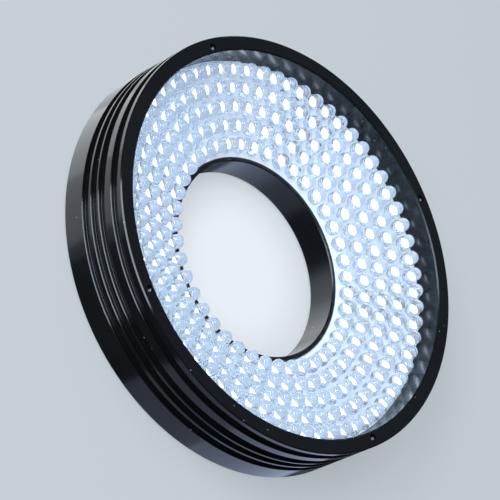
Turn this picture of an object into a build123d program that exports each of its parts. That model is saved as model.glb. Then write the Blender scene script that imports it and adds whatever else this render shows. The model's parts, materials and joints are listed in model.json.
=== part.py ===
from build123d import *

import math
import os

# LED ring light. Millimetres. The origin is the centre of the back face, +Z runs along the bore
# towards the lit side, and +X passes through the first tapped hole of the front rim.

# ---- overall; the outside diameter is the bore, the rows of LEDs and the walls added up ----
height = 18.0
bore_d = 42.5
rim_width = 3.2
slip = 0.1  # clearance where one piece drops into another
over = 1.0  # how far a cutter runs past what it cuts

# ---- outer housing ----
edge_chamfer = 0.25
back_edge_chamfer = 0.4
groove_downs = [12.2, 9.5, 7.1, 3.2]  # from the front rim down to each groove's lower wall
groove_widths = [1.9, 1.7, 1.9, 1.9]
groove_depth = 0.85
groove_corner_r = 0.3
land_chamfer = 0.15
board_ledge_width = 0.9
cover_recess_wall = 1.6
screw_ring_width = 6.4
screw_ring_top = 6.6
rim_hole_count = 4
rim_hole_d = 1.6
rim_hole_depth = 5.0
rim_hole_inset = 1.9  # from the outer wall to a hole's axis

# ---- bore tube ----
bore_wall = 1.05
lip_up = 7.05  # from the back to the tube's lip
lip_chamfer = 0.2
tube_shoulder = 1.4

# ---- LED board, a shallow cone ----
board_slope = 15.5
board_t = 1.0
lip_proud = 0.5  # how far the tube's lip stands above the board's inner edge

# ---- LEDs ----
led_d = 3.0
led_flange_lip = 0.2
led_flange_t = 0.7
led_length = 3.9
led_rows = 5
led_gap = 0.4  # least gap between two flanges of a row
led_row_gap = 0.38  # between the flanges of two rows
led_start_angle = 57.3
led_inner_gap = 0.9  # from the bore tube to the innermost flanges
led_outer_gap = 0.08
solder_d = 1.1
solder_tip_d = 0.6
solder_h = 0.5
lead_pitch = 1.9

# ---- back cover ----
cover_t = 2.0
cover_screw_count = 6
cover_screw_d = 2.0
cover_screw_head_d = 3.8
cover_screw_head_h = 1.0
cover_screw_length = 5.6
tap_ratio = 0.8  # tapped hole to screw diameter
hex_across_flats = 1.25
hex_depth = 0.6

# ---- mounting inserts in the back ----
insert_count = 4
insert_inset = 5.6  # from the screw ring inwards to an insert's axis
insert_d = 5.0
insert_length = 4.2
insert_head_d = 6.4
insert_head_t = 0.8
insert_hole_d = 2.5
insert_hole_depth = 3.4
insert_start_angle = 45.0

# ---- driver board and what is on it ----
film_t = 0.25
film_gap = 0.3
spacer_count = 4
spacer_h = 1.4
spacer_d = 3.4
spacer_start_angle = 30.0  # midway between two resistors
driver_t = 1.0
driver_inner_gap = 3.2
driver_edge_gap = 0.8
board_screw_d = 2.0
board_screw_head_d = 3.5
board_screw_head_h = 1.2
board_screw_slot = 0.6
board_screw_bite = 1.5
resistor_count = 24
resistor_size = (1.6, 3.2, 0.6)
part_inset = 0.5  # from the edge of the driver board to the parts on it
chip_angles = [160.0, 176.0, 192.0]
chip_size = (4.0, 5.0, 1.5)
capacitor_size = (3.2, 4.5, 1.8)
capacitor_gap = 1.8
terminal_size = (4.5, 7.0, 2.4)
pin_count = 6
pin_d = 0.64
pin_pitch = 2.0

# ---- cable inlet ----
inlet_angle = 90.0
inlet_cover_gap = 0.25  # from the cover's inside up to the inlet
grommet_d = 3.1
grommet_bore_d = 2.2

# ---- worked out from the sizes above ----
bore_r = bore_d / 2
tube_r = bore_r + bore_wall
led_flange_d = led_d + 2 * led_flange_lip
led_spacing = led_flange_d + led_gap
first_row_r = tube_r + led_inner_gap + led_flange_d / 2
row_radii = [first_row_r + row * (led_flange_d + led_row_gap) for row in range(led_rows)]
rim_inner_r = row_radii[-1] + led_flange_d / 2 + led_outer_gap
outer_r = rim_inner_r + rim_width
slope = math.tan(math.radians(board_slope))
slope_sin = math.sin(math.radians(board_slope))
slope_cos = math.cos(math.radians(board_slope))
board_inner_r = tube_r + slip
board_outer_r = rim_inner_r - slip
ledge_r = rim_inner_r - board_ledge_width
shoulder_r = tube_r + tube_shoulder
screw_ring_r = outer_r - screw_ring_width
recess_r = outer_r - cover_recess_wall
cover_r = recess_r - slip
cover_screw_r = screw_ring_r + cover_screw_head_d / 2 - slip
insert_r = screw_ring_r - insert_inset
film_top = cover_t + film_t
driver_bottom = cover_t + spacer_h
driver_top = driver_bottom + driver_t
driver_inner_r = shoulder_r + driver_inner_gap
driver_outer_r = screw_ring_r - driver_edge_gap
driver_mid_r = (driver_inner_r + driver_outer_r) / 2
inlet_up = cover_t + inlet_cover_gap + grommet_d / 2
inlet_cut_length = screw_ring_width * 3


def board_front(r):
    """Height of the LED board's front surface at radius r."""
    return lip_up - lip_proud + (r - board_inner_r) * slope


def board_back(r):
    """Height of the LED board's back surface at radius r."""
    return board_front(r) - board_t / slope_cos


def turned(points):
    """Solid of revolution about Z from a closed outline of (radius, height) points."""
    return revolve(Plane.XZ * make_face(Polyline(*points, close=True)), Axis.Z)


def at(r, angle, up=0.0):
    """Place at radius r, turned so that local X points outwards."""
    return Rot(0, 0, angle) * Pos(r, 0, up)


def ring_of(shape, count, r, start=0.0):
    """Evenly spaced copies of a shape on a circle."""
    return [at(r, start + 360 * i / count) * shape for i in range(count)]


def peg(d, low, high):
    """Upright cylinder between two heights."""
    return Pos(0, 0, (low + high) / 2) * Cylinder(d / 2, high - low)


def annulus(inner_r, outer, low, high):
    """Flat ring between two radii and two heights."""
    return turned([(inner_r, low), (outer, low), (outer, high), (inner_r, high)])


def block(size, low):
    """Box standing on a height, its first size along the radius."""
    return Pos(0, 0, low + size[2] / 2) * Box(*size)


def write(node, solids):
    """One STEP file for a node made of one or more separate solids."""
    shape = solids[0] if len(solids) == 1 else Compound(children=solids)
    shape.label = node
    export_step(shape, "parts/" + node + ".step")


def groove_outline(up, width):
    """Outline of one groove, from its lower land edge to its upper one."""
    floor_r = outer_r - groove_depth
    return [
        (outer_r, up - land_chamfer),
        (outer_r - land_chamfer, up),
        (floor_r, up),
        (floor_r, up + width),
        (outer_r - land_chamfer, up + width),
        (outer_r, up + width + land_chamfer),
    ]


def housing_ring():
    """Turned wall with its grooves, board ledge, screw ring and cover recess."""
    outline = [(recess_r, 0), (outer_r - back_edge_chamfer, 0), (outer_r, back_edge_chamfer)]
    for down, width in zip(groove_downs, groove_widths):
        outline += groove_outline(height - down, width)
    outline += [
        (outer_r, height - edge_chamfer),
        (outer_r - edge_chamfer, height),
        (rim_inner_r + edge_chamfer, height),
        (rim_inner_r, height - edge_chamfer),
        (rim_inner_r, board_back(rim_inner_r)),
        (ledge_r, board_back(ledge_r)),
        (ledge_r, screw_ring_top),
        (screw_ring_r, screw_ring_top),
        (screw_ring_r, cover_t),
        (recess_r, cover_t),
    ]
    ring = turned(outline)
    floor_r = outer_r - groove_depth
    corners = [
        edge
        for edge in ring.edges().filter_by(GeomType.CIRCLE)
        if abs(edge.radius - floor_r) < 0.01
    ]
    return fillet(corners, groove_corner_r)


def outer_housing():
    rim_hole = peg(rim_hole_d, height - rim_hole_depth, height + over)
    screw_hole = peg(cover_screw_d * tap_ratio, cover_t - over, cover_screw_length + slip)
    inlet = at(outer_r, inlet_angle, inlet_up) * Rot(0, 90, 0)
    inlet_hole = inlet * Cylinder(grommet_d / 2, inlet_cut_length)
    holes = ring_of(rim_hole, rim_hole_count, outer_r - rim_hole_inset)
    holes += ring_of(screw_hole, cover_screw_count, cover_screw_r)
    return housing_ring() - holes - inlet_hole


def bore_tube():
    """Thin tube round the bore, with a shoulder that stands on the cover and carries the board."""
    return turned(
        [
            (bore_r + lip_chamfer, 0),
            (tube_r, 0),
            (tube_r, cover_t),
            (shoulder_r, cover_t),
            (shoulder_r, board_back(shoulder_r)),
            (tube_r, board_back(tube_r)),
            (tube_r, lip_up - lip_chamfer),
            (tube_r - lip_chamfer, lip_up),
            (bore_r + lip_chamfer, lip_up),
            (bore_r, lip_up - lip_chamfer),
            (bore_r, lip_chamfer),
        ]
    )


def led_board():
    return turned(
        [
            (board_inner_r, board_back(board_inner_r)),
            (board_outer_r, board_back(board_outer_r)),
            (board_outer_r, board_front(board_outer_r)),
            (board_inner_r, board_front(board_inner_r)),
        ]
    )


def led():
    """One LED: flange, round body and dome, standing on z = 0."""
    led_r = led_d / 2
    flange_r = led_flange_d / 2
    dome_up = led_length - led_r
    side = Polyline(
        (0, led_length), (0, 0), (flange_r, 0), (flange_r, led_flange_t), (led_r, led_flange_t),
        (led_r, dome_up),
    )
    dome = RadiusArc((led_r, dome_up), (0, led_length), -led_r)
    return revolve(Plane.XZ * make_face([side, dome]), Axis.Z)


def on_board(r, angle):
    """Place on the board's front at radius r, with local Z square to the cone."""
    return at(r, angle, board_front(r)) * Rot(0, -board_slope, 0)


def row_angles(r):
    count = math.floor(2 * math.pi * r / led_spacing)
    return [led_start_angle + 360 * i / count for i in range(count)]


def led_row(r):
    """One circle of LEDs, their flat undersides bridging the hollow of the cone."""
    bridge = (led_flange_d / 2) ** 2 * slope_sin / (2 * r)
    shape = Pos(0, 0, bridge) * led()
    return [on_board(r, angle) * shape for angle in row_angles(r)]


def solder_joints():
    """Two small cones behind each LED."""
    joint = Pos(0, 0, -board_t - solder_h / 2) * Cone(solder_tip_d / 2, solder_d / 2, solder_h)
    joints = []
    for r in row_radii:
        lead_turn = math.degrees(lead_pitch / 2 / r)
        for angle in row_angles(r):
            joints += [on_board(r, angle + side * lead_turn) * joint for side in (-1, 1)]
    return joints


def back_cover():
    cover = annulus(tube_r, cover_r, 0, cover_t)
    head_cut = Pos(0, 0, cover_screw_head_h / 2) * Cone(
        cover_screw_head_d / 2, cover_screw_d / 2, cover_screw_head_h
    )
    shank_cut = peg(cover_screw_d + 2 * slip, -over, cover_t + over)
    insert_cut = peg(insert_d, -over, cover_t + over) + peg(insert_head_d, -over, insert_head_t)
    board_tap = peg(board_screw_d * tap_ratio, cover_t - board_screw_bite, cover_t + over)
    cuts = ring_of(head_cut, cover_screw_count, cover_screw_r)
    cuts += ring_of(shank_cut, cover_screw_count, cover_screw_r)
    cuts += ring_of(insert_cut, insert_count, insert_r, start=insert_start_angle)
    cuts += ring_of(board_tap, spacer_count, driver_mid_r, start=spacer_start_angle)
    return cover - cuts


def cover_screws():
    """Countersunk screws, heads flush with the back, their threads at tapping size."""
    head = Pos(0, 0, cover_screw_head_h / 2) * Cone(
        cover_screw_head_d / 2, cover_screw_d / 2, cover_screw_head_h
    )
    clear_part = peg(cover_screw_d, cover_screw_head_h, cover_t)
    thread = peg(cover_screw_d * tap_ratio, cover_t, cover_screw_length)
    hexagon = RegularPolygon(hex_across_flats / 2, 6, major_radius=False)
    socket = extrude(hexagon, hex_depth)
    return ring_of(head + clear_part + thread - socket, cover_screw_count, cover_screw_r)


def mount_inserts():
    """Threaded bushes pressed into the cover from the back."""
    bush = peg(insert_d, 0, insert_length) + peg(insert_head_d, 0, insert_head_t)
    bush -= peg(insert_hole_d, -over, insert_hole_depth)
    return ring_of(bush, insert_count, insert_r, start=insert_start_angle)


def insulation_film():
    film = annulus(driver_inner_r - driver_edge_gap, driver_outer_r, cover_t, film_top)
    spacer_cut = peg(spacer_d + 2 * film_gap, cover_t - over, film_top + over)
    insert_cut = peg(insert_d + 2 * film_gap, cover_t - over, film_top + over)
    cuts = ring_of(spacer_cut, spacer_count, driver_mid_r, start=spacer_start_angle)
    cuts += ring_of(insert_cut, insert_count, insert_r, start=insert_start_angle)
    return film - cuts


def driver_board():
    board = annulus(driver_inner_r, driver_outer_r, driver_bottom, driver_top)
    screw_cut = peg(board_screw_d + 2 * slip, driver_bottom - over, driver_top + over)
    insert_cut = peg(insert_d + 2 * film_gap, driver_bottom - over, driver_top + over)
    cuts = ring_of(screw_cut, spacer_count, driver_mid_r, start=spacer_start_angle)
    cuts += ring_of(insert_cut, insert_count, insert_r, start=insert_start_angle)
    return board - cuts


def board_spacers():
    spacer = peg(spacer_d, cover_t, driver_bottom)
    spacer -= peg(board_screw_d + 2 * slip, cover_t - over, driver_bottom + over)
    return ring_of(spacer, spacer_count, driver_mid_r, start=spacer_start_angle)


def board_screws():
    """Cheese-head screws through the driver board and spacers into the cover."""
    head_top = driver_top + board_screw_head_h
    screw = peg(board_screw_head_d, driver_top, head_top)
    screw += peg(board_screw_d, cover_t, driver_top)
    screw += peg(board_screw_d * tap_ratio, cover_t - board_screw_bite, cover_t)
    slot = Pos(0, 0, head_top) * Box(board_screw_head_d + over, board_screw_slot, board_screw_head_h)
    return ring_of(screw - slot, spacer_count, driver_mid_r, start=spacer_start_angle)


def current_resistors():
    """One small resistor for each string of LEDs, round the driver board's inner edge."""
    shape = block(resistor_size, driver_top)
    r = driver_inner_r + resistor_size[0] / 2 + part_inset
    step = 360 / resistor_count
    return ring_of(shape, resistor_count, r, start=step / 2)


def outer_place(size, angle):
    """Place for a part of this size at the driver board's outer edge."""
    return at(driver_outer_r - part_inset - size[0] / 2, angle)


def driver_chips():
    shape = block(chip_size, driver_top)
    return [outer_place(chip_size, angle) * shape for angle in chip_angles]


def input_capacitors():
    """One on each side of the wire terminal."""
    shape = block(capacitor_size, driver_top)
    across = (capacitor_size[1] + terminal_size[1]) / 2 + capacitor_gap
    turn = math.degrees(across / driver_outer_r)
    return [outer_place(capacitor_size, inlet_angle + side * turn) * shape for side in (-1, 1)]


def wire_terminal():
    """Two-way terminal beside the cable inlet."""
    body = block(terminal_size, driver_top)
    slot_size = (terminal_size[0] / 2, terminal_size[1] / 4, terminal_size[2] / 2)
    slot_up = driver_top + terminal_size[2] / 2
    for side in (-1, 1):
        slot = Pos(terminal_size[0] / 2, side * terminal_size[1] / 4, slot_up) * Box(*slot_size)
        body -= slot
    return outer_place(terminal_size, inlet_angle) * body


def link_pins():
    """Pins that carry the current from the driver board up to the LED board."""
    pins = []
    r = (row_radii[1] + row_radii[2]) / 2
    cutter = led_board()
    for i in range(pin_count):
        across = (i - (pin_count - 1) / 2) * pin_pitch
        pin = Pos(0, across, 0) * peg(pin_d, driver_top, board_back(r) + board_t / 2)
        pins.append(at(r, inlet_angle + 180) * pin - cutter)
    return pins


def cable_grommet():
    """Bush in the side wall that the supply cable passes through."""
    bush = Cylinder(grommet_d / 2, inlet_cut_length) - Cylinder(grommet_bore_d / 2, inlet_cut_length)
    placed = at(outer_r, inlet_angle, inlet_up) * Rot(0, 90, 0) * bush
    return placed & annulus(screw_ring_r, outer_r - slip, 0, height)


def only_solids(shape):
    """The separate solids of a shape."""
    return list(shape.solids())


os.makedirs("parts", exist_ok=True)
write("outer_housing", only_solids(outer_housing()))
write("bore_tube", only_solids(bore_tube()))
write("back_cover", only_solids(back_cover()))
write("cover_screws", cover_screws())
write("mount_inserts", mount_inserts())
write("led_board", only_solids(led_board()))
for number, radius in enumerate(row_radii, start=1):
    write("led_row_" + str(number), led_row(radius))
write("led_solder_joints", solder_joints())
write("insulation_film", only_solids(insulation_film()))
write("driver_board", only_solids(driver_board()))
write("board_spacers", board_spacers())
write("board_screws", board_screws())
write("current_resistors", current_resistors())
write("driver_chips", driver_chips())
write("input_capacitors", input_capacitors())
write("wire_terminal", only_solids(wire_terminal()))
write("link_pins", link_pins())
write("cable_grommet", only_solids(cable_grommet()))
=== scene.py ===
import json
import math

import bmesh
import bpy
from mathutils import Matrix, Vector


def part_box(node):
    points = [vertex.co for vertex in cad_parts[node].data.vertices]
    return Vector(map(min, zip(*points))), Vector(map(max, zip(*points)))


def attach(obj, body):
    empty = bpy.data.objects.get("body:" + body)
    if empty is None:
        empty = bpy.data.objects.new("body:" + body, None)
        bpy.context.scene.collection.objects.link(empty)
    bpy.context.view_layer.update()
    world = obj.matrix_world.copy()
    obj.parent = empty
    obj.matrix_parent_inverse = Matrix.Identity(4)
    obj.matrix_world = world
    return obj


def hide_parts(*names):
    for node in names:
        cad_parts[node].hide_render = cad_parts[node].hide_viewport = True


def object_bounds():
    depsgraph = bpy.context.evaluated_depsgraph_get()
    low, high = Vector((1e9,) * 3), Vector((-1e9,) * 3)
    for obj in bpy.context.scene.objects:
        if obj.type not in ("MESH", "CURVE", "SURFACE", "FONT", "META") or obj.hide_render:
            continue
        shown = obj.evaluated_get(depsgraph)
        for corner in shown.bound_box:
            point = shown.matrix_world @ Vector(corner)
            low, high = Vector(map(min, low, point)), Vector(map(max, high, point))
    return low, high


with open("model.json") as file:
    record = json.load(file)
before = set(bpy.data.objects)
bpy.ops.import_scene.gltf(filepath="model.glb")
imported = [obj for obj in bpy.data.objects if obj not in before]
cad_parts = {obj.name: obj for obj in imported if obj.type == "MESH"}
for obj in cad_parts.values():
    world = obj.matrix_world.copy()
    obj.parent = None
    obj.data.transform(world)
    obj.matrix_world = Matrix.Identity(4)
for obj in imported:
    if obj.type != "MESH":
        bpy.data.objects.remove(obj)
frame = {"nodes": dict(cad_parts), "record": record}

cad_low, cad_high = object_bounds()

MM = 0.001
BODY = "root"
RECORD = frame["record"]
MOUNTS = {mount["name"]: mount for mount in RECORD["mounts"]}

RIM_WIDTH = 3.2 * MM

# ---- cut threads: coarse is M3, fine is M2 ----
FINE_PITCH = 0.4 * MM
COARSE_PITCH = 0.5 * MM
RIM_THREAD_LOW = -4.5 * MM
RIM_THREAD_HIGH = -0.6 * MM
INSERT_THREAD_LOW = 0.4 * MM
INSERT_THREAD_HIGH = 3.0 * MM
THREAD_STEPS = 20
RIDGE_SHARE = 0.45  # a ridge's depth and half width, as a share of the pitch

# ---- sizes of the LEDs, which the CAD rows share ----
LED_D = 3.0 * MM
LED_FLANGE_D = 3.4 * MM
LED_FLANGE_T = 0.7 * MM
LED_LENGTH = 3.9 * MM
SOFT_EDGE = 0.06 * MM
LED_SPACING = 3.8 * MM
LED_TILT = math.radians(15.5)
LED_START = math.radians(57.3)
LED_ROWS = 5
ROUND_STEPS = 28
CUP_STEPS = 16
PHOSPHOR_STEPS = 14
DOME_STEPS = 9
CROWN_ANGLES = [math.pi / 2 * i / 4 for i in range(5)]

# ---- inside an LED ----
CUP_TOP = 1.55 * MM
CUP_DEPTH = 0.5 * MM
CUP_R = 0.54 * MM
CUP_FLOOR_R = 0.3 * MM
CUP_WALL = 0.06 * MM
PHOSPHOR_DOWN = 0.18 * MM  # below the cup's rim
PHOSPHOR_GAP = 0.02 * MM
PHOSPHOR_CROWN = 0.26 * MM
POST_WIDTH = 0.45 * MM
POST_GAP = 1.9 * MM
POST_FOOT = 0.05 * MM
STEM_GAP = 0.12 * MM
FOOT_REACH = 0.9  # of half the gap between the posts
POST_TOP = 0.92  # of the cup's top

# ---- camera ----
FOCAL_LENGTH = 208.3
SENSOR = 36.0
NEAR_CLIP = 0.01
VIEW_AZIMUTH = math.radians(-85.0)
VIEW_ELEVATION = math.radians(42.93)
VIEW_ROLL = math.radians(64.36)
VIEW_DISTANCE = 590.0 * MM
AIM_LEFT = 8.7 * MM  # the aim is beside the middle of the front rim, as seen in the view
AIM_DOWN = 1.8 * MM

# ---- surface detail: noise scales are in waves per metre ----
LATHE_MARKS = 9000.0
DYE_CLOUDS = 90.0
GLOSS_SPREAD = 0.04
INNER_DULLNESS = 0.09
DUST_CELLS = 400.0
DUST_SIZE = 0.06
DUST_SHARE = 0.5
FINE_BUMP = 0.00001

SCRATCHES = 4000.0
PLASTIC_MOTTLE = 1500.0
BOARD_CLOUDS = 700.0
EPOXY_HAZE = 500.0
PHOSPHOR_GRAIN = 2500.0
PLATED_GRAIN = 3000.0
RAMP_LOW = 0.35
RAMP_HIGH = 0.65

# ---- what glows: emission strengths; the board, cups and leads glow as painted light ----
BOARD_PAINTED_LIGHT = 0.36
EPOXY_GLOW = 0.03
PHOSPHOR_GLOW_LOW = 5.0
PHOSPHOR_GLOW_HIGH = 7.0
CUP_PAINTED_LIGHT = 1.2
LEAD_PAINTED_LIGHT = 0.35
FLOOR_GLOW = 0.70

# ---- light: angles in degrees, metres and watts ----
WORLD_STRENGTH = 0.06
BOX_DISTANCE = 0.9
BELOW = -43.0  # elevation of the boxes that the side wall mirrors
SPOT_UP = 0.4
SPOT_ANGLE = 6.4
SPOT_POWER = 5.0
SPOT_BLEND = 0.3
SPOT_SIZE = 0.01
FLOOR_HALF = 3.0
FLOOR_DOWN = 0.0002

# ---- colours, linear ----
BACKDROP = (0.56, 0.62, 0.66)
ANODISED = (0.005, 0.0055, 0.0065)
DUST = (0.30, 0.31, 0.33)
ICE_BLUE = (0.64, 0.77, 0.97)
GLOW = (0.80, 0.90, 1.0)
BLUE_SHEEN = (0.82, 0.91, 1.0)
BOARD_DARK = (0.62, 0.72, 0.84)
BOARD_PALE = (0.80, 0.88, 0.94)
CLEAR_EPOXY = (0.90, 0.95, 1.0)
PHOSPHOR_COOL = (0.85, 0.90, 0.95)
PHOSPHOR_WARM = (1.0, 0.98, 0.92)
FLOOR_PAINT = (0.30, 0.31, 0.32)
PLATED_DARK = (0.70, 0.78, 0.90)
PLATED = (0.86, 0.92, 1.0)
# far darker than bare aluminium: painted shade for the dark inside of the rim holes
CUT_ALUMINIUM_IN_PAINTED_SHADE = (0.10, 0.105, 0.115)
BRASS = (0.80, 0.62, 0.30)
SKY = (0.80, 0.88, 1.0)
WHITE_LIGHT = (1.0, 1.0, 1.0)
COOL_LIGHT = (0.93, 0.97, 1.0)
COOLER_LIGHT = (0.88, 0.94, 1.0)
FAR_LIGHT = (0.70, 0.82, 1.0)
BLUE_LIGHT = (0.70, 0.80, 1.0)
DEEP_BLUE_LIGHT = (0.60, 0.72, 1.0)


# ---------------------------------------------------------------- materials


class Shader:
    """Node tree of one material, with short calls for the nodes that the materials share."""

    def __init__(self, name):
        self.material = bpy.data.materials.new(name)
        self.material.use_nodes = True
        self.tree = self.material.node_tree
        self.tree.nodes.clear()
        self.output = self.add("ShaderNodeOutputMaterial")
        self.surface = self.add("ShaderNodeBsdfPrincipled")
        self.link(self.surface.outputs["BSDF"], self.output.inputs["Surface"])

    def add(self, kind, **settings):
        node = self.tree.nodes.new(kind)
        for key, value in settings.items():
            setattr(node, key, value)
        return node

    def link(self, source, target):
        self.tree.links.new(source, target)

    def set(self, **values):
        """Numbers or colours straight on the Principled sockets."""
        for key, value in values.items():
            socket = self.surface.inputs[key.replace("_", " ")]
            socket.default_value = (*value, 1.0) if isinstance(value, tuple) else value

    def place(self):
        return self.add("ShaderNodeTexCoord").outputs["Object"]

    def noise(self, scale, detail=3.0, vector=None):
        node = self.add("ShaderNodeTexNoise")
        node.inputs["Scale"].default_value = scale
        node.inputs["Detail"].default_value = detail
        self.link(vector or self.place(), node.inputs["Vector"])
        return node.outputs["Fac"]

    def spread(self, value, low, high):
        """Maps a 0 to 1 value to a range."""
        node = self.add("ShaderNodeMapRange")
        node.inputs["To Min"].default_value = low
        node.inputs["To Max"].default_value = high
        self.link(value, node.inputs["Value"])
        return node.outputs["Result"]

    def paint(self, colour):
        self.link(colour, self.surface.inputs["Base Color"])

    def roughen(self, value, low, high):
        """Roughness between two values."""
        self.link(self.spread(value, low, high), self.surface.inputs["Roughness"])

    def two_colours(self, value, dark, light):
        node = self.add("ShaderNodeValToRGB")
        node.color_ramp.elements[0].position = RAMP_LOW
        node.color_ramp.elements[1].position = RAMP_HIGH
        node.color_ramp.elements[0].color = (*dark, 1.0)
        node.color_ramp.elements[1].color = (*light, 1.0)
        self.link(value, node.inputs["Fac"])
        return node.outputs["Color"]

    def bump(self, height, strength, distance):
        node = self.add("ShaderNodeBump")
        node.inputs["Strength"].default_value = strength
        node.inputs["Distance"].default_value = distance
        self.link(height, node.inputs["Height"])
        self.link(node.outputs["Normal"], self.surface.inputs["Normal"])

    def duller_inside(self, gloss, place, radius):
        """Adds roughness where the surface is nearer the axis than a radius."""
        parts = self.add("ShaderNodeSeparateXYZ")
        self.link(place, parts.inputs["Vector"])
        inner = self.add("ShaderNodeMath", operation="LESS_THAN")
        inner.inputs[1].default_value = radius
        self.link(parts.outputs["X"], inner.inputs[0])
        total = self.add("ShaderNodeMath", operation="MULTIPLY_ADD")
        total.inputs[1].default_value = INNER_DULLNESS
        self.link(inner.outputs["Value"], total.inputs[0])
        self.link(gloss, total.inputs[2])
        return total.outputs["Value"]

    def specks(self):
        """1 on a few grains of dust, 0 between them."""
        cells = self.add("ShaderNodeTexVoronoi")
        cells.inputs["Scale"].default_value = DUST_CELLS
        self.link(self.place(), cells.inputs["Vector"])
        near = self.add("ShaderNodeMath", operation="LESS_THAN")
        near.inputs[1].default_value = DUST_SIZE
        self.link(cells.outputs["Distance"], near.inputs[0])
        some = self.add("ShaderNodeMath", operation="GREATER_THAN")
        some.inputs[1].default_value = DUST_SHARE
        self.link(cells.outputs["Color"], some.inputs[0])
        both = self.add("ShaderNodeMath", operation="MULTIPLY")
        self.link(near.outputs["Value"], both.inputs[0])
        self.link(some.outputs["Value"], both.inputs[1])
        return both.outputs["Value"]

    def mixed(self, share, first, second):
        """A colour output, turned to a fixed second colour where share is 1."""
        node = self.add("ShaderNodeMix", data_type="RGBA")
        node.inputs["B"].default_value = (*second, 1.0)
        self.link(share, node.inputs["Factor"])
        self.link(first, node.inputs["A"])
        return node.outputs["Result"]

    def turned_place(self):
        """Coordinates that change with radius and height but hardly with angle, as a lathe cuts."""
        parts = self.add("ShaderNodeSeparateXYZ")
        self.link(self.place(), parts.inputs["Vector"])
        flat = self.add("ShaderNodeCombineXYZ")
        self.link(parts.outputs["X"], flat.inputs["X"])
        self.link(parts.outputs["Y"], flat.inputs["Y"])
        length = self.add("ShaderNodeVectorMath", operation="LENGTH")
        self.link(flat.outputs["Vector"], length.inputs[0])
        turned = self.add("ShaderNodeCombineXYZ")
        self.link(length.outputs["Value"], turned.inputs["X"])
        self.link(parts.outputs["Z"], turned.inputs["Y"])
        return turned.outputs["Vector"]


def anodised(name, roughness=0.12, turning=0.08, inside=None):
    """Black anodised aluminium with faint lathe marks and cloudy dye, duller within a radius."""
    shader = Shader(name)
    cloud = shader.noise(DYE_CLOUDS)
    lighter = tuple(channel * 1.7 for channel in ANODISED)
    dye = shader.two_colours(cloud, ANODISED, lighter)
    shader.paint(shader.mixed(shader.specks(), dye, DUST))
    place = shader.turned_place()
    marks = shader.noise(LATHE_MARKS, 2.0, place)
    gloss = shader.spread(marks, roughness - GLOSS_SPREAD, roughness + GLOSS_SPREAD)
    if inside:
        gloss = shader.duller_inside(gloss, place, inside)
    shader.link(gloss, shader.surface.inputs["Roughness"])
    shader.bump(marks, turning, FINE_BUMP)
    shader.set(Specular_IOR_Level=0.55, Specular_Tint=BLUE_SHEEN)
    return shader.material


def bare_metal(name, colour, roughness=0.22):
    """Cut or plated metal with fine scratches."""
    shader = Shader(name)
    grain = shader.noise(SCRATCHES, 4.0)
    darker = tuple(channel * 0.75 for channel in colour)
    shader.paint(shader.two_colours(grain, darker, colour))
    shader.roughen(grain, roughness, roughness + 0.15)
    shader.bump(grain, 0.2, FINE_BUMP)
    shader.set(Metallic=1.0)
    return shader.material


def moulded(name, colour, roughness=0.45, gloss=0.5):
    """Moulded plastic or rubber with a slightly mottled skin."""
    shader = Shader(name)
    mottle = shader.noise(PLASTIC_MOTTLE)
    darker = tuple(channel * 0.8 for channel in colour)
    shader.paint(shader.two_colours(mottle, darker, colour))
    shader.roughen(mottle, roughness, roughness + 0.1)
    shader.bump(mottle, 0.15, 0.00002)
    shader.set(Specular_IOR_Level=gloss)
    return shader.material


def board_mask():
    """White solder mask, faintly uneven over the copper under it, with a painted glow for the light its LEDs
    throw on it.
    """
    shader = Shader("board_mask")
    uneven = shader.noise(BOARD_CLOUDS)
    shader.paint(shader.two_colours(uneven, BOARD_DARK, BOARD_PALE))
    shader.roughen(uneven, 0.28, 0.4)
    shader.bump(uneven, 0.2, 0.00004)
    # painted light: this emission stands in for the LEDs' light falling on the board
    shader.set(Emission_Color=ICE_BLUE, Emission_Strength=BOARD_PAINTED_LIGHT)
    return shader.material


def epoxy():
    """Clear water-white epoxy with a little of the chip's light scattered in it."""
    shader = Shader("led_epoxy")
    haze = shader.noise(EPOXY_HAZE)
    shader.roughen(haze, 0.0, 0.03)
    shader.set(Base_Color=CLEAR_EPOXY, Transmission_Weight=0.9, IOR=1.5)
    shader.set(Emission_Color=ICE_BLUE, Emission_Strength=EPOXY_GLOW)
    return shader.material


def lit_phosphor():
    """Phosphor lit by the chip under it, a little uneven."""
    shader = Shader("lit_phosphor")
    grain = shader.noise(PHOSPHOR_GRAIN)
    shader.paint(shader.two_colours(grain, PHOSPHOR_COOL, PHOSPHOR_WARM))
    glow = shader.spread(grain, PHOSPHOR_GLOW_LOW, PHOSPHOR_GLOW_HIGH)
    shader.link(glow, shader.surface.inputs["Emission Strength"])
    shader.set(Roughness=0.5, Emission_Color=GLOW)
    shader.material.cycles.emission_sampling = "NONE"
    return shader.material


def silver_with_painted_light(name, roughness, colour, strength):
    """Silvered metal inside an LED, with a painted glow for the phosphor's light that it catches."""
    shader = Shader(name)
    grain = shader.noise(PLATED_GRAIN)
    shader.paint(shader.two_colours(grain, PLATED_DARK, PLATED))
    shader.roughen(grain, roughness, roughness + 0.15)
    # painted light: the emission stands in for the phosphor's light on the silver
    shader.set(Metallic=0.6, Emission_Color=colour, Emission_Strength=strength)
    shader.material.cycles.emission_sampling = "NONE"
    return shader.material


def floor_paint():
    """Even pale blue-grey floor that takes only a faint shadow."""
    shader = Shader("floor_paint")
    shader.set(Base_Color=FLOOR_PAINT, Roughness=0.9, Specular_IOR_Level=0.1)
    shader.set(Emission_Color=BACKDROP, Emission_Strength=FLOOR_GLOW)
    shader.material.cycles.emission_sampling = "NONE"
    return shader.material


# ---------------------------------------------------------------- meshes


def new_object(name, mesh, material, smooth=True):
    obj = bpy.data.objects.new(name, mesh)
    bpy.context.scene.collection.objects.link(obj)
    mesh.materials.append(material)
    for face in mesh.polygons:
        face.use_smooth = smooth
    return obj


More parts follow.
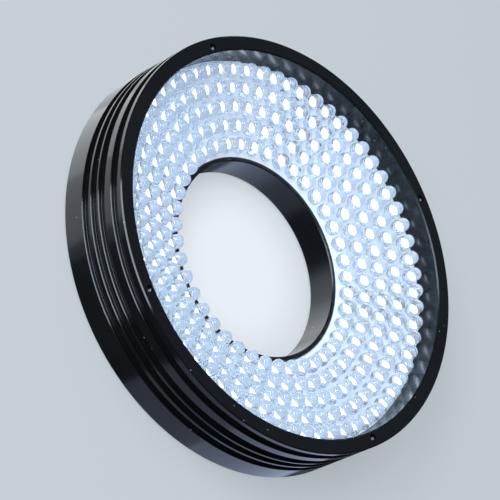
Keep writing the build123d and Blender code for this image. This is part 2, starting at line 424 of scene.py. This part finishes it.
def object_piece(name, shape, material, smooth=True):
    """A finished bmesh as a piece of the object."""
    bmesh.ops.recalc_face_normals(shape, faces=shape.faces)
    mesh = bpy.data.meshes.new(name)
    shape.to_mesh(mesh)
    shape.free()
    piece = new_object(name, mesh, material, smooth)
    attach(piece, BODY)
    return piece


def add_lathe(shape, outline, place, steps):
    """Adds a turned solid to a bmesh. The outline's first and last points lie on the axis."""
    tip = shape.verts.new(place @ Vector((0, 0, outline[0][1])))
    end = shape.verts.new(place @ Vector((0, 0, outline[-1][1])))
    rings = []
    for r, z in outline[1:-1]:
        angles = [2 * math.pi * i / steps for i in range(steps)]
        rings.append([shape.verts.new(place @ Vector((r * math.cos(a), r * math.sin(a), z))) for a in angles])
    for i in range(steps):
        j = (i + 1) % steps
        shape.faces.new((tip, rings[0][i], rings[0][j]))
        shape.faces.new((end, rings[-1][j], rings[-1][i]))
        for low, high in zip(rings, rings[1:]):
            shape.faces.new((low[i], high[i], high[j], low[j]))


def add_box(shape, low, high, place):
    """Adds a box between two corners to a bmesh."""
    size = Vector(high) - Vector(low)
    middle = (Vector(high) + Vector(low)) / 2
    matrix = place @ Matrix.Translation(middle) @ Matrix.Diagonal((*size, 1.0))
    bmesh.ops.create_cube(shape, size=1.0, matrix=matrix)


def arc(centre_z, radius, first, last, steps):
    """Points of an arc in the (radius, height) plane, angles from the horizontal."""
    angles = [first + (last - first) * i / steps for i in range(steps + 1)]
    return [(radius * math.cos(a), centre_z + radius * math.sin(a)) for a in angles]


def led_outline():
    """Flange, round body and dome."""
    r = LED_D / 2
    flange = LED_FLANGE_D / 2
    soft = SOFT_EDGE
    dome = arc(LED_LENGTH - r, r, 0.0, math.pi / 2, DOME_STEPS)
    foot = [(0, 0), (flange - soft, 0), (flange, soft), (flange, LED_FLANGE_T - soft)]
    shoulder = [(flange - soft, LED_FLANGE_T), (r + soft, LED_FLANGE_T), (r, LED_FLANGE_T + soft)]
    return foot + shoulder + dome


def cup_outline():
    """Reflector cup, open upwards, on its narrow stem."""
    floor = CUP_TOP - CUP_DEPTH
    wall = CUP_WALL
    return [
        (0, floor - wall * 2),
        (CUP_FLOOR_R, floor - wall * 2),
        (CUP_R + wall, CUP_TOP - wall),
        (CUP_R + wall, CUP_TOP),
        (CUP_R, CUP_TOP),
        (CUP_FLOOR_R, floor),
        (0, floor),
    ]


def phosphor_outline():
    """Phosphor that fills the cup over the chip, slightly crowned."""
    floor = CUP_TOP - CUP_DEPTH
    level = CUP_TOP - PHOSPHOR_DOWN
    gap = PHOSPHOR_GAP
    reach = CUP_FLOOR_R + (CUP_R - CUP_FLOOR_R) * (level - floor) / CUP_DEPTH - gap
    crown = [(reach * math.cos(a), level + PHOSPHOR_CROWN * math.sin(a)) for a in CROWN_ANGLES]
    return [(0, floor + gap), (CUP_FLOOR_R - gap, floor + gap)] + crown


def row_places(number):
    """Where the LEDs of one row stand: matrices with local Z along each LED."""
    node = "led_row_" + str(number)
    flange = LED_FLANGE_D / 2
    reach = max(math.hypot(v.co.x, v.co.y) for v in frame["nodes"][node].data.vertices)
    r = reach - flange * math.cos(LED_TILT)
    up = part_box(node)[0].z + flange * math.sin(LED_TILT)
    count = math.floor(2 * math.pi * r / LED_SPACING)
    lean = Matrix.Translation((r, 0, up)) @ Matrix.Rotation(-LED_TILT, 4, "Y")
    return [Matrix.Rotation(LED_START + 2 * math.pi * i / count, 4, "Z") @ lean for i in range(count)]


def turned_pieces(name, outline, places, steps, material):
    """One turned solid at each place, all in one piece."""
    shape = bmesh.new()
    for place in places:
        add_lathe(shape, outline, place, steps)
    return object_piece(name, shape, material)


def led_posts(number, places, material):
    """Two lead posts inside each LED, side by side along the row, one under the cup."""
    shape = bmesh.new()
    half = POST_WIDTH / 2
    foot = POST_FOOT
    stem_top = CUP_TOP - CUP_DEPTH - STEM_GAP
    side = POST_GAP / 2
    for place in places:
        add_box(shape, (-half, -half, foot + half), (half, half, stem_top), place)
        add_box(shape, (-half, -half, foot), (half, side * FOOT_REACH, foot + half), place)
        add_box(shape, (-half, -side - half / 2, foot), (half, -side + half, CUP_TOP * POST_TOP), place)
    object_piece("led_posts_" + str(number), shape, material, smooth=False)


def thread(name, centre, radius, low, high, pitch, material):
    """Ridges of a cut thread round the wall of a hole, as one helix."""
    shape = bmesh.new()
    turns = (high - low) / pitch
    ridge = pitch * RIDGE_SHARE
    rows = []
    for i in range(int(turns * THREAD_STEPS) + 1):
        angle = 2 * math.pi * i / THREAD_STEPS
        up = low + pitch * i / THREAD_STEPS
        way = Vector((math.cos(angle), math.sin(angle), 0))
        root = centre + way * radius
        crest = centre + way * (radius - ridge)
        rows.append(
            [
                shape.verts.new(root + Vector((0, 0, up - ridge))),
                shape.verts.new(crest + Vector((0, 0, up))),
                shape.verts.new(root + Vector((0, 0, up + ridge))),
            ]
        )
    for a, b in zip(rows, rows[1:]):
        shape.faces.new((a[0], a[1], b[1], b[0]))
        shape.faces.new((a[1], a[2], b[2], b[1]))
        shape.faces.new((a[2], a[0], b[0], b[2]))
    shape.faces.new(rows[0])
    shape.faces.new(rows[-1][::-1])
    object_piece(name, shape, material, smooth=False)


def circle_places(mount_name, start):
    """Hole centres of a circular bolt pattern."""
    mount = MOUNTS[mount_name]
    dims = mount["dims"]
    r = dims["pcd_mm"] / 2 * MM
    angles = [start + 2 * math.pi * i / dims["count"] for i in range(dims["count"])]
    up = mount["pos_m"][2]
    return [Vector((r * math.cos(a), r * math.sin(a), up)) for a in angles], dims["hole_r_mm"] * MM


# ---------------------------------------------------------------- the object


def build_leds():
    clear = epoxy()
    silver = silver_with_painted_light("lit_cup", 0.25, GLOW, CUP_PAINTED_LIGHT)
    glow = lit_phosphor()
    lead = silver_with_painted_light("lit_lead", 0.3, ICE_BLUE, LEAD_PAINTED_LIGHT)
    for number in range(1, LED_ROWS + 1):
        places = row_places(number)
        row = str(number)
        bodies = turned_pieces("led_bodies_" + row, led_outline(), places, ROUND_STEPS, clear)
        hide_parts("led_row_" + row)
        turned_pieces("led_cups_" + row, cup_outline(), places, CUP_STEPS, silver)
        turned_pieces("led_phosphor_" + row, phosphor_outline(), places, PHOSPHOR_STEPS, glow)
        led_posts(number, places, lead)


def build_rim_threads():
    # thread metal darkened as painted shade of the holes
    metal = bare_metal("cut_aluminium_painted_shade", CUT_ALUMINIUM_IN_PAINTED_SHADE, 0.25)
    holes, radius = circle_places("rim_holes", 0.0)
    for number, hole in enumerate(holes, start=1):
        name = "rim_thread_" + str(number)
        thread(name, hole, radius, RIM_THREAD_LOW, RIM_THREAD_HIGH, FINE_PITCH, metal)


def build_insert_threads():
    metal = bare_metal("insert_brass", BRASS)
    holes, radius = circle_places("back_inserts", math.pi / 4)
    for number, hole in enumerate(holes, start=1):
        name = "insert_thread_" + str(number)
        thread(name, hole, radius, INSERT_THREAD_LOW, INSERT_THREAD_HIGH, COARSE_PITCH, metal)


def paint_node(node, material):
    """Gives a CAD node its finished material."""
    for slot in frame["nodes"][node].material_slots:
        slot.link = "OBJECT"
        slot.material = material


def paint_nodes():
    housing = anodised("housing_anodised", inside=cad_high.x - RIM_WIDTH / 2)
    brass = bare_metal("turned_brass", BRASS)
    steel = bare_metal("black_steel", (0.10, 0.10, 0.11), 0.3)
    chip = moulded("chip_plastic", (0.03, 0.03, 0.034))
    finishes = {
        "outer_housing": housing,
        "bore_tube": anodised("tube_anodised", 0.22, 0.2),
        "back_cover": anodised("cover_anodised", 0.3, 0.35),
        "cover_screws": steel,
        "board_screws": steel,
        "mount_inserts": brass,
        "board_spacers": brass,
        "link_pins": brass,
        "led_board": board_mask(),
        "led_solder_joints": bare_metal("solder", (0.72, 0.73, 0.75), 0.15),
        "insulation_film": moulded("amber_film", (0.55, 0.32, 0.06), 0.3),
        "driver_board": moulded("green_mask", (0.02, 0.16, 0.06), 0.3),
        "current_resistors": chip,
        "driver_chips": chip,
        "input_capacitors": moulded("fired_ceramic", (0.42, 0.29, 0.17), 0.5),
        "wire_terminal": moulded("terminal_plastic", (0.03, 0.22, 0.09), 0.4),
        "cable_grommet": moulded("soft_rubber", (0.015, 0.015, 0.016), 0.6, 0.3),
    }
    for node, material in finishes.items():
        paint_node(node, material)


# ---------------------------------------------------------------- stage


def front_middle():
    return Vector((0.0, 0.0, cad_high.z))


def build_camera():
    flat = math.cos(VIEW_ELEVATION)
    back = Vector(
        (flat * math.cos(VIEW_AZIMUTH), flat * math.sin(VIEW_AZIMUTH), math.sin(VIEW_ELEVATION))
    )
    level = back.to_track_quat("Z", "Y").to_matrix()
    turn = level @ Matrix.Rotation(VIEW_ROLL, 3, "Z")
    right, up = turn.col[0], turn.col[1]
    aim = front_middle() - right * AIM_LEFT - up * AIM_DOWN
    data = bpy.data.cameras.new("camera")
    data.lens = FOCAL_LENGTH
    data.sensor_width = SENSOR
    data.clip_start = NEAR_CLIP
    camera = bpy.data.objects.new("camera", data)
    bpy.context.scene.collection.objects.link(camera)
    camera.matrix_world = Matrix.Translation(aim + back * VIEW_DISTANCE) @ turn.to_4x4()
    bpy.context.scene.camera = camera


def build_floor():
    shape = bmesh.new()
    bmesh.ops.create_grid(shape, x_segments=2, y_segments=2, size=FLOOR_HALF)
    mesh = bpy.data.meshes.new("floor")
    shape.to_mesh(mesh)
    shape.free()
    floor = new_object("floor", mesh, floor_paint(), smooth=False)
    floor.location.z = cad_low.z - FLOOR_DOWN
    floor.visible_glossy = False  # the polished walls show the soft boxes, not the floor
    floor.visible_shadow = False  # the boxes below it shine through


def add_light(name, data):
    light = bpy.data.objects.new(name, data)
    bpy.context.scene.collection.objects.link(light)
    return light


def soft_box(name, azimuth, elevation, wide, power, colour, tall=None, distance=BOX_DISTANCE):
    """Soft box that faces the object, angles in degrees. It is square unless it is told how tall."""
    data = bpy.data.lights.new(name, "AREA")
    data.shape = "RECTANGLE"
    data.size = wide
    data.size_y = tall or wide
    data.energy = power
    data.color = colour
    light = add_light(name, data)
    a, e = math.radians(azimuth), math.radians(elevation)
    way = Vector((math.cos(a) * math.cos(e), math.sin(a) * math.cos(e), math.sin(e)))
    light.location = front_middle() + way * distance
    light.rotation_mode = "QUATERNION"
    light.rotation_quaternion = way.to_track_quat("Z", "Y")


def bore_spot():
    """Spot down the axis, which brightens the floor inside the bore."""
    data = bpy.data.lights.new("bore_spot", "SPOT")
    data.energy = SPOT_POWER
    data.spot_size = math.radians(SPOT_ANGLE)
    data.spot_blend = SPOT_BLEND
    data.shadow_soft_size = SPOT_SIZE
    light = add_light("bore_spot", data)
    light.location = (0.0, 0.0, SPOT_UP)


def build_world():
    world = bpy.data.worlds.new("studio")
    world.use_nodes = True
    background = world.node_tree.nodes["Background"]
    background.inputs["Color"].default_value = (*SKY, 1.0)
    background.inputs["Strength"].default_value = WORLD_STRENGTH
    bpy.context.scene.world = world


def build_lights():
    soft_box("key", 240.0, 42.0, 0.8, 5.0, COOLER_LIGHT, tall=0.28)
    soft_box("top", 200.0, 75.0, 0.5, 2.0, WHITE_LIGHT, distance=1.0)
    soft_box("far", 95.0, 43.0, 1.0, 0.4, FAR_LIGHT, distance=1.0)
    soft_box("low_back", 143.0, BELOW, 1.1, 3.8, COOL_LIGHT)
    soft_box("low_left", 184.0, BELOW, 1.0, 2.4, COOL_LIGHT)
    soft_box("low_near", 213.0, BELOW, 0.5, 0.22, COOL_LIGHT)
    soft_box("low_far", 75.0, BELOW, 0.4, 0.02, BLUE_LIGHT)
    soft_box("low_side", 27.0, BELOW, 0.75, 2.0, DEEP_BLUE_LIGHT)
    soft_box("low_front", 330.0, BELOW, 0.6, 0.6, BLUE_LIGHT)
    bore_spot()


bpy.context.scene.view_settings.view_transform = "Standard"
paint_nodes()
build_leds()
build_rim_threads()
build_insert_threads()
build_camera()
build_floor()
build_world()
build_lights()
